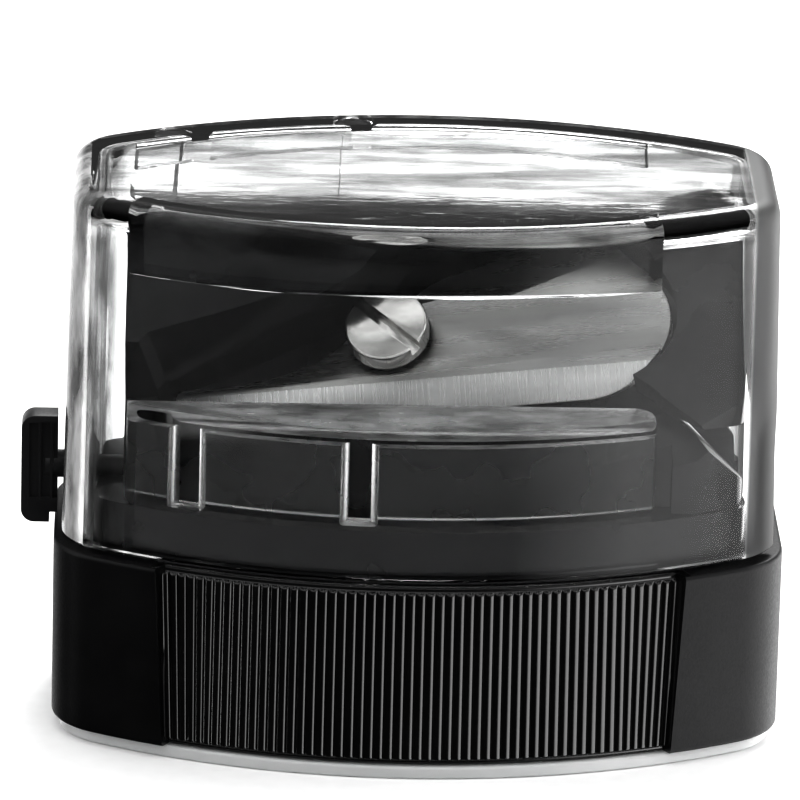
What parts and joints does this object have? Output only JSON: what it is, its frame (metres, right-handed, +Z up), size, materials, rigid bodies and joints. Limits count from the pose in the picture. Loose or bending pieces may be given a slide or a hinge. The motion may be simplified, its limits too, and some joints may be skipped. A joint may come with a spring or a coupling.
{
  "type": "pencil sharpener",
  "caption": "Container pencil sharpener with a ribbed black base, wedge insert, steel blade, lift-off clear cover and pull-out cleaning stick.",
  "frame": {"origin": "centre of the resting face under the foot plate", "axes": "+X towards the pencil hole, along the pencil; -Y is the front with the blade showing; +Z up"},
  "size_m": [0.0429, 0.0242, 0.0318],
  "materials": {
    "satin_black": "fine satin, polished ribs",
    "clear_foot": "clear, slightly frosted edge",
    "gloss_black": "glossy moulded",
    "blade_steel": "fine ground",
    "nickel": "bright nickel plate",
    "clear_cover": "clear polished polystyrene",
    "stick_black": "satin"
  },
  "bodies": {
    "base": {"base_ring": "satin_black", "foot_plate": "clear_foot", "sharpener_insert": "gloss_black", "blade": "blade_steel", "blade_screw": "nickel"},
    "cover": {"clear_cover": "clear_cover"},
    "stick": {"cleaning_stick": "stick_black"}
  },
  "joints": [
    {"name": "cover_lift", "type": "slide", "parent": "base", "child": "cover", "axis": [0, 0, 1], "range_m": [0, 0.03]},
    {"name": "stick_pull", "type": "slide", "parent": "base", "child": "stick", "axis": [-1, 0, 0], "range_m": [0, 0.025]}
  ]
}
